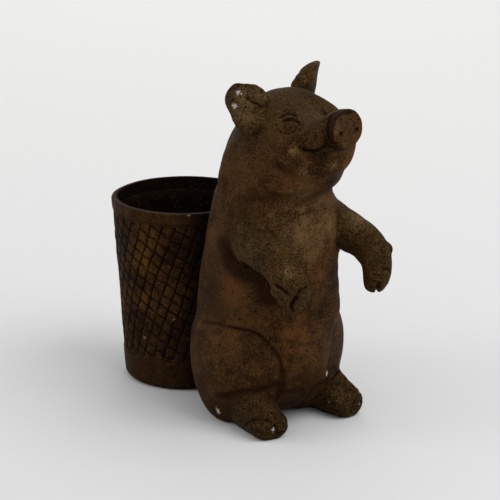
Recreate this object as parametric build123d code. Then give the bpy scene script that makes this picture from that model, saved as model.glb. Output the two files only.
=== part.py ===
"""Seated terracotta pig with a tapered basket on its back.

The figure is built from hollow and solid clay pieces that are luted together with slip and fired.
Frame: millimetres, +Z up, floor at Z 0. The pig faces -Y, its left side is +X and the basket stands behind it.
"""

from build123d import *
from math import cos, degrees, pi, radians, sin
import os

# Clay walls, and the film of slip between two luted pieces
TRUNK_WALL = 6.0
HEAD_WALL = 6.0
SLIP_FILM = 0.15

# Trunk: level ovals from the seat up to the neck joint
SEAT_CENTRE_Y = 21.0
SEAT_HALF_WIDTH = 38.0
SEAT_HALF_DEPTH = 28.0
RUMP_HEIGHT = 20.0
RUMP_CENTRE_Y = 7.0
RUMP_HALF_WIDTH = 49.0
RUMP_HALF_DEPTH = 50.0
BELLY_HEIGHT = 70.0
BELLY_CENTRE_Y = 1.0
BELLY_HALF_WIDTH = 53.0
BELLY_HALF_DEPTH = 56.0
CHEST_HEIGHT = 125.0
CHEST_CENTRE_Y = -2.0
CHEST_HALF_WIDTH = 49.0
CHEST_HALF_DEPTH = 52.0
NECK_HEIGHT = 172.0
NECK_CENTRE_Y = -6.0
NECK_HALF_WIDTH = 43.0
NECK_HALF_DEPTH = 45.0

# Slab that closes the hollow trunk from below, with the hole that lets steam out in the kiln
BASE_SLAB_THICKNESS = 7.0
VENT_DIAMETER = 12.0

# Head: ovals that fan out from the throat to the nose. Each has a point on the crown line and one on the
# throat line, as (backward, upward) steps from the middle of the neck joint, and its half width.
NAPE = ((38.0, 21.0), (-52.0, 10.0), 42.0)
POLL = ((27.0, 48.0), (-61.0, 19.0), 41.0)
CROWN = ((7.0, 71.0), (-68.0, 26.5), 38.0)
BROW = ((-19.0, 79.5), (-71.5, 32.0), 34.0)
EYE_LINE = ((-37.0, 71.0), (-71.0, 36.5), 28.0)
MUZZLE = ((-58.0, 66.5), (-71.5, 41.5), 20.0)
NOSE_SEAT = ((-76.3, 74.0), (-78.9, 51.5), 11.5)

# Snout disc on the nose seat, with two nostrils
SNOUT_RADIUS = 13.8
SNOUT_THICKNESS = 6.5
SNOUT_EDGE_FILLET = 1.5
NOSTRIL_RADIUS = 1.6
NOSTRIL_SPACING = 10.0
NOSTRIL_DROP = 2.5
NOSTRIL_DEPTH = 3.0

# Mouth: a curved slit under the snout, as deep as it is pressed into the head wall
MOUTH_FRONT = (-95.0, 49.0)
MOUTH_MIDDLE = (-74.0, 46.0)
MOUTH_CORNER = (-62.0, 47.5)
MOUTH_GAPE = 1.8
MOUTH_DEPTH = 2.5

# Eyes: clay pellets in sockets on the eye line, turned up from the side of the head
EYE_RADIUS = 4.2
EYE_TURN = 22.0
EYE_SINK = 2.6

# Ears: cupped leaves that face out to the side, each set by hand at its own place, which is the lobe's
# (outward, backward, upward) step from the middle of the neck joint. Each level of a leaf has its height above
# the lobe, half width, half thickness and forward curl.
LEFT_EAR_PLACE = (31.5, 6.5, 52.0)
RIGHT_EAR_PLACE = (38.0, -18.7, 51.0)
EAR_FACING = 52.0
EAR_LEVELS = ((0.0, 5.0, 5.0, 0.0), (10.0, 12.0, 9.0, 1.0), (23.0, 16.0, 7.0, 4.0), (33.0, 14.0, 4.5, 8.5),
              (39.0, 8.0, 2.5, 12.5))
EAR_WALL = 4.5

# Forelegs: ovals from the shoulder to the tip of the hoof. Each has its place from the middle of the chest
# (outward, forward, upward), its dip below level in degrees, half width and half height.
FORELEG_OVALS = (
    ((30.0, 10.0, 18.0), 0.0, 17.0, 20.0),
    ((37.5, 29.0, 18.5), 3.0, 16.0, 18.5),
    ((41.0, 49.0, 16.5), 10.0, 13.5, 14.5),
    ((41.5, 65.0, 11.5), 35.0, 12.0, 14.0),
    ((40.5, 74.5, 0.5), 72.0, 10.5, 13.5),
    ((37.5, 77.0, -11.5), 95.0, 9.0, 10.5),
    ((36.5, 76.0, -18.5), 100.0, 5.5, 6.0),
)
FORELEG_SPLAY = -20.0
HOOF_FILLET = 2.5
HOOF_CLEFT_WIDTH = 1.8
HOOF_CLEFT_LENGTH = 12.0

# Haunches: broad thighs that swell out of the flanks, of level ovals. Each has its height, its outward shift, and
# how far it is drawn in from the belly's half width and half depth.
HAUNCH_CENTRE_Y = 0.5
HAUNCH_LEVELS = (
    (0.0, 25.0, 33.0, 38.0),
    (18.0, 16.0, 13.0, 18.0),
    (40.0, 9.0, 1.5, 8.0),
    (61.0, 8.0, 1.0, 5.0),
    (76.0, 7.5, 5.5, 8.0),
    (87.0, 7.0, 17.0, 20.0),
)

# Hind feet: ovals from the heel to the toes. Each has its place (outward, forward, upward), half width and
# half height; the sole is cut flat at the floor.
FOOT_OVALS = (
    ((32.0, 10.0, 18.0), 16.0, 21.0),
    ((35.0, 27.0, 16.0), 15.5, 19.0),
    ((37.0, 43.0, 11.5), 14.5, 14.0),
    ((38.0, 56.5, 9.0), 13.0, 11.0),
)
FOOT_SPLAY = 7.0
TOE_FILLET = 7.0
TOE_CLEFT_WIDTH = 1.8
TOE_CLEFT_LENGTH = 11.0

# Basket: a tapered pot of a foot ring, a wall and a rim, let a little into the back of the trunk
BASKET_HEIGHT = 145.0
BASKET_MOUTH_RADIUS = 55.0
BASKET_FOOT_RADIUS = 47.5
BASKET_WALL = 4.0
BASKET_FLOOR_THICKNESS = 5.0
BASKET_BITE = 3.3
RIM_HEIGHT = 9.0
RIM_PROUD = 0.8
RIM_EDGE_FILLET = 1.2
FOOT_RING_HEIGHT = 24.0
FOOT_RING_PROUD = 0.8
FOOT_EDGE_FILLET = 4.0

# Lattice: lines incised in the basket's wall, steep ones that lean one way and flat ones that fall the other way.
# A rise is for each unit of length round the wall. Flat lines are drawn in strokes, by turns deeper and shallower.
STEEP_LINES = 23
STEEP_LINE_RISE = 4.0
STEEP_LINE_DEPTH = 0.8
FLAT_LINES = 12
FLAT_LINE_RISE = -0.6
FLAT_LINE_DEPTHS = (0.72, 0.66)
FLAT_STROKES_ROUND = 6
LINE_WIDTH = 1.4

QUARTER = 90
STEPS_IN_QUARTER = 3
NECK_MIDDLE = Vector(0, NECK_CENTRE_Y, NECK_HEIGHT)


def oval_point(plane, half_width, half_depth, turn):
    """The point of an oval at a turn in degrees from its plane's X axis."""
    return plane.from_local_coords((half_width * cos(radians(turn)), half_depth * sin(radians(turn))))


def oval(plane, half_width, half_depth):
    """An oval of four quarter curves, which starts on its plane's X axis."""
    quarters = []
    for first in range(0, 4 * QUARTER, QUARTER):
        turns = [first + QUARTER * k / STEPS_IN_QUARTER for k in range(STEPS_IN_QUARTER + 1)]
        points = [oval_point(plane, half_width, half_depth, turn) for turn in turns]
        tangents = [oval_point(plane, half_width, half_depth, turn + QUARTER) - plane.origin
                    for turn in (turns[0], turns[-1])]
        quarters.append(Spline(*points, tangents=tangents))
    return make_face(quarters)


def trunk_body(wall=0.0):
    """The trunk as a filled form, drawn in by a wall."""
    levels = (
        (0.0, SEAT_CENTRE_Y, SEAT_HALF_WIDTH, SEAT_HALF_DEPTH),
        (RUMP_HEIGHT, RUMP_CENTRE_Y, RUMP_HALF_WIDTH, RUMP_HALF_DEPTH),
        (BELLY_HEIGHT, BELLY_CENTRE_Y, BELLY_HALF_WIDTH, BELLY_HALF_DEPTH),
        (CHEST_HEIGHT, CHEST_CENTRE_Y, CHEST_HALF_WIDTH, CHEST_HALF_DEPTH),
        (NECK_HEIGHT, NECK_CENTRE_Y, NECK_HALF_WIDTH, NECK_HALF_DEPTH),
    )
    return loft([oval(Plane((0, y, z)), width - wall, depth - wall) for z, y, width, depth in levels])


def head_plane(top, under):
    """The plane of one head oval and half the distance between its two points."""
    back = NECK_MIDDLE + Vector(0, *top)
    front = NECK_MIDDLE + Vector(0, *under)
    across = back - front
    plane = Plane(origin=(back + front) / 2, x_dir=(1, 0, 0), z_dir=Vector(1, 0, 0).cross(across))
    return plane, across.length / 2


def head_body(wall=0.0, rings=(NAPE, POLL, CROWN, BROW, EYE_LINE, MUZZLE, NOSE_SEAT)):
    """The head as a filled form, drawn in by a wall."""
    ovals = [oval(Plane(NECK_MIDDLE), NECK_HALF_WIDTH - wall, NECK_HALF_DEPTH - wall)]
    for top, under, half_width in rings:
        plane, half_depth = head_plane(top, under)
        ovals.append(oval(plane, half_width - wall, half_depth - wall))
    return loft(ovals)


def basket_radius(height):
    """The outside radius of the tapered basket at a height."""
    return BASKET_FOOT_RADIUS + (BASKET_MOUTH_RADIUS - BASKET_FOOT_RADIUS) * height / BASKET_HEIGHT


BASKET_CENTRE_Y = BELLY_CENTRE_Y + BELLY_HALF_DEPTH + basket_radius(BELLY_HEIGHT) - BASKET_BITE
BASKET_AXIS = Plane((0, BASKET_CENTRE_Y, 0))


def basket_ring(low, high, proud=0.0, wall=BASKET_WALL):
    """A tapered ring of the basket between two heights, proud of the cone, or filled when its wall is None."""
    inner_low = 0 if wall is None else basket_radius(low) - wall
    inner_high = 0 if wall is None else basket_radius(high) - wall
    profile = Polyline(
        (inner_low, low),
        (basket_radius(low) + proud, low),
        (basket_radius(high) + proud, high),
        (inner_high, high),
        close=True,
    )
    return BASKET_AXIS * revolve(Plane.XZ * make_face(profile), Axis.Z)


def outer_edge(ring, height):
    """The widest circular edge of a basket ring at a height."""
    level = [edge for edge in ring.edges().filter_by(GeomType.CIRCLE) if abs(edge.arc_center.Z - height) < SLIP_FILM]
    return max(level, key=lambda edge: edge.radius)


def limb_plane(place, dip, splay):
    """A plane across a limb that points forward, dips below level and splays outward."""
    outward, forward, upward = place
    heading = Vector(sin(radians(splay)) * cos(radians(dip)), -cos(radians(splay)) * cos(radians(dip)),
                     -sin(radians(dip)))
    side = (cos(radians(splay)), sin(radians(splay)), 0)
    return Plane(origin=(outward, -forward, upward), x_dir=side, z_dir=heading)


def rounded_end(limb, plane, radius):
    """A limb with the rim of its flat end, which lies on a plane, rounded off."""
    end = limb.faces().sort_by_distance(plane.origin)[0]
    return fillet(end.edges(), radius)


def ear_leaf(place, wall=0.0, lift=0.0):
    """A left ear as a leaf of level ovals, drawn in by a wall and lifted off its back for the cup."""
    facing = Vector(sin(radians(EAR_FACING)), -cos(radians(EAR_FACING)), 0)
    ovals = []
    for height, half_width, half_thickness, curl in EAR_LEVELS:
        centre = NECK_MIDDLE + Vector(*place) + facing * (curl + lift) + Vector(0, 0, height)
        plane = Plane(origin=centre, x_dir=(facing.Y, -facing.X, 0), z_dir=(0, 0, 1))
        ovals.append(oval(plane, half_width - wall, half_thickness))
    return loft(ovals)


def make_trunk(filled_trunk, filled_basket):
    hollow = trunk_body(TRUNK_WALL)
    return filled_trunk - hollow - filled_basket


def make_base_slab():
    blank = Pos(0, SEAT_CENTRE_Y, BASE_SLAB_THICKNESS / 2) * Box(
        4 * SEAT_HALF_WIDTH, 4 * SEAT_HALF_DEPTH, BASE_SLAB_THICKNESS)
    vent = Pos(0, SEAT_CENTRE_Y, 0) * Cylinder(VENT_DIAMETER / 2, 4 * BASE_SLAB_THICKNESS)
    return (trunk_body(TRUNK_WALL + SLIP_FILM) & blank) - vent


def eye_centre():
    top, under, half_width = EYE_LINE
    plane, half_depth = head_plane(top, under)
    surface = oval_point(plane, half_width, half_depth, EYE_TURN)
    inward = (plane.origin - surface).normalized()
    return surface + inward * EYE_SINK


def make_eye():
    return Pos(eye_centre()) * Sphere(EYE_RADIUS)


def make_head(filled_head):
    hollow = head_body(HEAD_WALL, (NAPE, POLL, CROWN, BROW))
    lips = [NECK_MIDDLE + Vector(0, *point) for point in (MOUTH_FRONT, MOUTH_MIDDLE, MOUTH_CORNER)]
    smile = ThreePointArc(*lips)
    slit = sweep(Plane(smile @ 0, x_dir=(1, 0, 0), z_dir=smile % 0)
                 * Rectangle(4 * MUZZLE[2], MOUTH_GAPE), path=smile)
    slit = slit - head_body(MOUTH_DEPTH)
    socket = Pos(eye_centre()) * Sphere(EYE_RADIUS + SLIP_FILM)
    return filled_head - hollow - slit - socket - mirror(socket, Plane.YZ)


def make_snout():
    top, under, _ = NOSE_SEAT
    seat, _ = head_plane(top, under)
    disc = seat * Pos(0, 0, SLIP_FILM + SNOUT_THICKNESS / 2) * Cylinder(SNOUT_RADIUS, SNOUT_THICKNESS)
    disc = fillet(disc.edges().filter_by(GeomType.CIRCLE), SNOUT_EDGE_FILLET)
    for side in (-1, 1):
        bore = Cylinder(NOSTRIL_RADIUS, 2 * NOSTRIL_DEPTH)
        disc -= seat * Pos(side * NOSTRIL_SPACING / 2, -NOSTRIL_DROP, SNOUT_THICKNESS) * bore
    return disc


def make_ear(place):
    return ear_leaf(place) - ear_leaf(place, EAR_WALL, EAR_WALL)


def make_foreleg():
    planes = []
    for (outward, forward, upward), dip, half_width, half_height in FORELEG_OVALS:
        place = (outward, forward - CHEST_CENTRE_Y, CHEST_HEIGHT + upward)
        planes.append((limb_plane(place, dip, FORELEG_SPLAY), half_width, half_height))
    leg = rounded_end(loft([oval(*section) for section in planes]), planes[-1][0], HOOF_FILLET)
    cleft = planes[-1][0] * Box(HOOF_CLEFT_WIDTH, 8 * planes[-1][2], 2 * HOOF_CLEFT_LENGTH)
    return leg - cleft


def haunch_body(grow=0.0):
    """The left haunch as a filled form that runs into the trunk, grown by a film."""
    ovals = []
    for height, outward, side_draw, front_draw in HAUNCH_LEVELS:
        plane = Plane((outward, HAUNCH_CENTRE_Y, height))
        ovals.append(oval(plane, BELLY_HALF_WIDTH - side_draw + grow, BELLY_HALF_DEPTH - front_draw + grow))
    return loft(ovals)


def make_foot():
    sections = []
    for place, half_width, half_height in FOOT_OVALS:
        sections.append(oval(limb_plane(place, 0, FOOT_SPLAY), half_width, half_height))
    (outward, forward, upward), half_width, _ = FOOT_OVALS[-1]
    toe = limb_plane((outward, forward, upward), 0, FOOT_SPLAY)
    foot = rounded_end(loft(sections), toe, TOE_FILLET)
    cleft = toe * Box(TOE_CLEFT_WIDTH, 8 * half_width, 2 * TOE_CLEFT_LENGTH)
    floor = Pos(outward, -forward, -2 * half_width) * Box(20 * half_width, 20 * half_width, 4 * half_width)
    return foot - cleft - floor


def lattice_stroke(turn, height, rise, half_turn, depth):
    """One straight stroke across the basket's wall, at a turn in degrees and to half a turn on either side."""
    radius = basket_radius(height)
    outwards = Vector(cos(radians(turn)), sin(radians(turn)), 0)
    along = Vector(-outwards.Y, outwards.X, 0) * radius * sin(radians(half_turn))
    along += Vector(0, 0, rise * radius * radians(half_turn))
    bulge = radius * (1 - cos(radians(half_turn)))
    blade = Plane(outwards * radius + Vector(0, 0, height), x_dir=along, z_dir=along.cross(outwards))
    blade = BASKET_AXIS * blade * Box(2 * (along.length + LINE_WIDTH), 2 * (bulge + BASKET_WALL), LINE_WIDTH)
    skin_low = FOOT_RING_HEIGHT - BASKET_WALL
    skin_high = BASKET_HEIGHT - RIM_HEIGHT + BASKET_WALL
    return blade & basket_ring(skin_low, skin_high, BASKET_WALL, depth)


def lattice_wall(low, high):
    """The basket's wall between two heights with its incised lines."""
    wall = basket_ring(low, high)
    middle = (low + high) / 2
    round_wall = 2 * pi * basket_radius(middle)
    half_turn = degrees((high - low) / 2 / STEEP_LINE_RISE / basket_radius(middle))
    wall -= [lattice_stroke(360 * k / STEEP_LINES, middle, STEEP_LINE_RISE, half_turn, STEEP_LINE_DEPTH)
             for k in range(STEEP_LINES)]
    half_turn = 180 / FLAT_STROKES_ROUND
    half_rise = abs(FLAT_LINE_RISE) * round_wall / FLAT_STROKES_ROUND / 2
    spacing = abs(FLAT_LINE_RISE) * round_wall / FLAT_LINES
    for first, depth in enumerate(FLAT_LINE_DEPTHS):
        strokes = []
        for k in range(first, FLAT_STROKES_ROUND, len(FLAT_LINE_DEPTHS)):
            height = low - half_rise + (FLAT_LINE_RISE * round_wall * k / FLAT_STROKES_ROUND) % spacing
            while height < high + half_rise:
                strokes.append(lattice_stroke(360 * k / FLAT_STROKES_ROUND, height, FLAT_LINE_RISE, half_turn, depth))
                height += spacing
        wall -= [stroke for stroke in strokes if stroke]
    return wall


def make_basket():
    rim_low = BASKET_HEIGHT - RIM_HEIGHT
    rim = basket_ring(rim_low, BASKET_HEIGHT, RIM_PROUD)
    rim = fillet(outer_edge(rim, BASKET_HEIGHT), RIM_EDGE_FILLET)
    foot_ring = basket_ring(0, FOOT_RING_HEIGHT, FOOT_RING_PROUD)
    foot_ring = fillet(outer_edge(foot_ring, 0), FOOT_EDGE_FILLET)
    return {
        "basket_rim": rim,
        "basket_wall": lattice_wall(FOOT_RING_HEIGHT, rim_low),
        "basket_foot_ring": foot_ring,
        "basket_floor": basket_ring(0, BASKET_FLOOR_THICKNESS, -BASKET_WALL - SLIP_FILM, None),
    }


def paired(name, left, right, middle=(), beside=()):
    """A left and a right piece, trimmed by forms on the middle line and by forms on their own side."""
    pair = {name + "_left": left, name + "_right": right}
    for trimmer in middle:
        pair = {side: piece - trimmer for side, piece in pair.items()}
    for trimmer in beside:
        pair[name + "_left"] -= trimmer
        pair[name + "_right"] -= mirror(trimmer, Plane.YZ)
    return pair


def mirrored(name, left, middle=(), beside=()):
    """A left piece and its mirror image on the right, trimmed."""
    return paired(name, left, mirror(left, Plane.YZ), middle, beside)


filled_trunk = trunk_body()
filled_head = head_body()
filled_basket = basket_ring(0, BASKET_HEIGHT, max(RIM_PROUD, FOOT_RING_PROUD) + SLIP_FILM, None)
trunk_trimmer = trunk_body(-SLIP_FILM)
head_trimmer = head_body(-SLIP_FILM)
haunch_trimmer = haunch_body(SLIP_FILM)
right_ear = mirror(make_ear(RIGHT_EAR_PLACE), Plane.YZ)

pieces = {
    "trunk_shell": make_trunk(filled_trunk, filled_basket),
    "trunk_base_slab": make_base_slab(),
    "head_shell": make_head(filled_head),
    "snout_disc": make_snout(),
}
pieces.update(mirrored("eye", make_eye()))
pieces.update(paired("ear", make_ear(LEFT_EAR_PLACE), right_ear, [head_trimmer]))
pieces.update(mirrored("foreleg", make_foreleg() - head_trimmer, [trunk_trimmer]))
pieces.update(mirrored("haunch", haunch_body(), [trunk_trimmer, filled_basket]))
pieces.update(mirrored("hind_foot", make_foot(), [trunk_trimmer], [haunch_trimmer]))
pieces.update(make_basket())

os.makedirs("parts", exist_ok=True)
for name, piece in pieces.items():
    export_step(piece, os.path.join("parts", name + ".step"))
    print(name, len(piece.solids()), round(piece.volume), piece.is_valid)
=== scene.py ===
"""The looks of a seated terracotta pig with a tapered basket luted to its back. Lengths are in metres."""
import math

import bmesh
import bpy
import numpy as np
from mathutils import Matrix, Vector, noise
from mathutils.bvhtree import BVHTree


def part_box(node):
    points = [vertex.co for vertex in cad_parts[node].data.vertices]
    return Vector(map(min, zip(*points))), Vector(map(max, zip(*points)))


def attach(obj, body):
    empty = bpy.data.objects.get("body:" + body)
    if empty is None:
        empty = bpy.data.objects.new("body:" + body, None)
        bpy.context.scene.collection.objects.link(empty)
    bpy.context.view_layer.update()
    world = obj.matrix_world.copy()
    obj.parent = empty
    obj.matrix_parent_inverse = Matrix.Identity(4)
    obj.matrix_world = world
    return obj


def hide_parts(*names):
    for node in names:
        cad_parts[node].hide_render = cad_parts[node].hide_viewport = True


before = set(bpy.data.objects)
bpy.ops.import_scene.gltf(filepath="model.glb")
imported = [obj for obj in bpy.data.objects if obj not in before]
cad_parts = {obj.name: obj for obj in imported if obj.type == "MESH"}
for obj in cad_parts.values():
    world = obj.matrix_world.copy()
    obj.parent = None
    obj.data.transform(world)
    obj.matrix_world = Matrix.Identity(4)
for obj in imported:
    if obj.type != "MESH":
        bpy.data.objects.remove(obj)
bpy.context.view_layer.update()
scene = bpy.context.scene
scene.view_settings.view_transform = "Standard"
MM = 0.001

# The view
# The pig is seen from its right and a little above, through a long lens.
# The place comes from the two ellipses of the basket and the feet on the floor.
VIEW_FROM = Vector((-997.7, -1268.1, 615.4)) * MM
VIEW_AT = Vector((-2.6, 18.7, 121.1)) * MM
FOCAL_LENGTH = 163.1
SENSOR_WIDTH = 36.0
PHOTO_WIDTH = 500

camera = bpy.data.objects.new("camera", bpy.data.cameras.new("camera"))
camera.data.lens = FOCAL_LENGTH
camera.data.sensor_width = SENSOR_WIDTH
camera.location = VIEW_FROM
view_turn = (VIEW_AT - VIEW_FROM).to_track_quat("-Z", "Y")
camera.rotation_euler = view_turn.to_euler()
scene.collection.objects.link(camera)
scene.camera = camera
PIXEL_FOCUS = FOCAL_LENGTH / SENSOR_WIDTH * PHOTO_WIDTH
PIXEL = (VIEW_AT - VIEW_FROM).length / PIXEL_FOCUS


def sight_line(pixel):
    """The direction from the camera through a pixel of the photograph."""
    across = (pixel[0] - PHOTO_WIDTH / 2) / PIXEL_FOCUS
    down = (pixel[1] - PHOTO_WIDTH / 2) / PIXEL_FOCUS
    return (view_turn @ Vector((across, -down, -1.0))).normalized()


# The stage
# A pale seamless floor, its colour painted a little brighter towards the back as painted light. It has a wide
# soft box in front on the right, a weak one behind on the left, and one that lights the floor far behind.
FLOOR_NEAR = (0.63, 0.63, 0.635, 1.0)
FLOOR_FAR = (0.75, 0.75, 0.74, 1.0)
FLOOR_CORNERS = ((-7, -7, 0), (7, -7, 0), (7, 7, 0), (-7, 7, 0))
PAINTED_LIGHT_SPAN = (-0.6, 1.7)
FLOOR_ROUGHNESS = 0.9
FLOOR_SHEEN = 0.1
SKY_COLOUR = (1.0, 1.0, 1.0, 1.0)
SKY_STRENGTH = 0.72
SOFT_BOXES = (
    ("key_box", (0.6, -1.35, 1.75), (0, 0, 0.12), 1.9, 29),
    ("left_box", (-1.5, 1.2, 0.9), (0, 0, 0.12), 0.9, 8),
    ("back_box", (1.5, 2.0, 1.7), (1.3, 1.7, 0), 1.6, 13),
)


def add_node(tree, kind, inputs=None, **settings):
    """A node with its settings, and with values or other nodes' outputs in its inputs."""
    made = tree.nodes.new(kind)
    for name, value in settings.items():
        setattr(made, name, value)
    for name, value in (inputs or {}).items():
        if isinstance(value, bpy.types.NodeSocket):
            tree.links.new(value, made.inputs[name])
        else:
            made.inputs[name].default_value = value
    return made


def level(tree, value, low, high):
    """A value as a share of the way between two others, cut off at 0 and 1."""
    made = add_node(tree, "ShaderNodeMapRange", {"Value": value, "From Min": low, "From Max": high},
                    interpolation_type="SMOOTHSTEP")
    return made.outputs["Result"]


def blend_colours(tree, share, first, second):
    """The mix of two colours."""
    return add_node(tree, "ShaderNodeMix", {0: share, 6: first, 7: second}, data_type="RGBA").outputs[2]


floor_mesh = bpy.data.meshes.new("floor")
floor_mesh.from_pydata(FLOOR_CORNERS, [], [(0, 1, 2, 3)])
floor = bpy.data.objects.new("floor", floor_mesh)
scene.collection.objects.link(floor)
floor_paint = bpy.data.materials.new("floor")
floor_paint.use_nodes = True
floor_tree = floor_paint.node_tree
floor_place = add_node(floor_tree, "ShaderNodeTexCoord").outputs["Object"]
away = (VIEW_AT - VIEW_FROM).to_2d().normalized().to_3d()
floor_depth = add_node(floor_tree, "ShaderNodeVectorMath", {0: floor_place, 1: away}, operation="DOT_PRODUCT")
# Painted light: the floor's colour grows lighter towards the back.
painted_light_share = level(floor_tree, floor_depth.outputs["Value"], *PAINTED_LIGHT_SPAN)
floor_colour = blend_colours(floor_tree, painted_light_share, FLOOR_NEAR, FLOOR_FAR)
floor_shader = floor_tree.nodes["Principled BSDF"]
floor_tree.links.new(floor_colour, floor_shader.inputs["Base Color"])
floor_shader.inputs["Roughness"].default_value = FLOOR_ROUGHNESS
floor_shader.inputs["Specular IOR Level"].default_value = FLOOR_SHEEN
floor_mesh.materials.append(floor_paint)

scene.world = bpy.data.worlds.new("sky")
scene.world.use_nodes = True
scene.world.node_tree.nodes["Background"].inputs["Color"].default_value = SKY_COLOUR
scene.world.node_tree.nodes["Background"].inputs["Strength"].default_value = SKY_STRENGTH
for name, place, aim, width, power in SOFT_BOXES:
    lamp = bpy.data.objects.new(name, bpy.data.lights.new(name, "AREA"))
    lamp.data.size = width
    lamp.data.energy = power
    lamp.location = place
    lamp.rotation_euler = (Vector(aim) - Vector(place)).to_track_quat("-Z", "Y").to_euler()
    scene.collection.objects.link(lamp)

# The clay body
# Trunk, head, ears and limbs are pinched from terracotta, scored, wetted with slip and pressed together.
# The skin is one surface over them all, smoothed where they were luted, and each piece takes its share.
SKIN_GRAIN = 0.85 * MM
SKIN_SMOOTHING = (6, 0.5)
MERGE_GAP = 0.002 * MM
FLAT = 0.01 * MM
STROKE_REACH = 3
STROKE_TAPER = 0.15
NECK_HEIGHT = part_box("trunk_shell")[1].z
SLAB_GAP = 0.3 * MM
SLAB_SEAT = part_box("trunk_base_slab")[1].z + SLAB_GAP
LIMBS = [part + side for part in ("ear", "foreleg", "haunch", "hind_foot") for side in ("_left", "_right")]
LUTED = ["trunk_shell", "head_shell", "snout_disc"] + LIMBS


def merged_copy(node):
    """A CAD node's triangles as one connected form."""
    form = bmesh.new()
    form.from_mesh(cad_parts[node].data)
    bmesh.ops.remove_doubles(form, verts=form.verts, dist=MERGE_GAP)
    form.normal_update()
    return form


def reached(start, stops):
    """The faces that connect to a face without crossing the stops."""
    found = {start}
    queue = [start]
    while queue:
        for edge in queue.pop().edges:
            for face in edge.link_faces:
                if face not in found and face not in stops:
                    found.add(face)
                    queue.append(face)
    return found


def outside_of_trunk():
    """The trunk's outside, open at the neck, with the pocket of the base slab but no hollow above it."""
    form = merged_copy("trunk_shell")
    neck_ring = [face for face in form.faces if min(v.co.z for v in face.verts) > NECK_HEIGHT - FLAT]
    bmesh.ops.delete(form, geom=neck_ring, context="FACES")
    seat_ring = {face for face in form.faces if max(v.co.z for v in face.verts) < FLAT}
    widest = max(form.faces, key=lambda face: face.calc_center_median().x)
    outside = reached(widest, seat_ring)
    hollow = [face for face in form.faces if face not in outside and face not in seat_ring]
    cut = hollow + list({edge for face in hollow for edge in face.edges})
    cut += list({vert for face in hollow for vert in face.verts})
    bmesh.ops.bisect_plane(form, geom=cut, plane_co=(0, 0, SLAB_SEAT), plane_no=(0, 0, 1), clear_outer=True)
    pocket = [e for e in form.edges if e.is_boundary and e.verts[0].co.z < 2 * SLAB_SEAT]
    bmesh.ops.contextual_create(form, geom=pocket)
    return form


def outside_of_head():
    """The head's outside, open at the neck."""
    form = merged_copy("head_shell")
    ring = {face for face in form.faces
            if max(abs(v.co.z - NECK_HEIGHT) for v in face.verts) < FLAT}
    foremost = min(form.faces, key=lambda face: face.calc_center_median().y)
    outside = reached(foremost, ring)
    bmesh.ops.delete(form, geom=[face for face in form.faces if face not in outside], context="FACES")
    return form


def full_ear(node):
    """An ear with its cup filled level, to be hollowed by hand."""
    hull = bmesh.new()
    corners = [hull.verts.new(v.co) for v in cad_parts[node].data.vertices]
    bmesh.ops.convex_hull(hull, input=corners)
    bmesh.ops.delete(hull, geom=[v for v in hull.verts if not v.link_faces], context="VERTS")
    return hull


def evaluated_mesh(piece):
    """A plain mesh of an object with its modifiers applied."""
    return bpy.data.meshes.new_from_object(piece.evaluated_get(bpy.context.evaluated_depsgraph_get()))


def remeshed(forms, grain):
    """One closed even mesh round all the forms."""
    together = bmesh.new()
    for form in forms:
        share = bpy.data.meshes.new("share")
        form.to_mesh(share)
        together.from_mesh(share)
    raw = bpy.data.meshes.new("raw")
    together.to_mesh(raw)
    lump = bpy.data.objects.new("raw", raw)
    scene.collection.objects.link(lump)
    remesh = lump.modifiers.new("remesh", "REMESH")
    remesh.mode = "VOXEL"
    remesh.voxel_size = grain
    mesh = evaluated_mesh(lump)
    bpy.data.objects.remove(lump)
    return mesh


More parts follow.
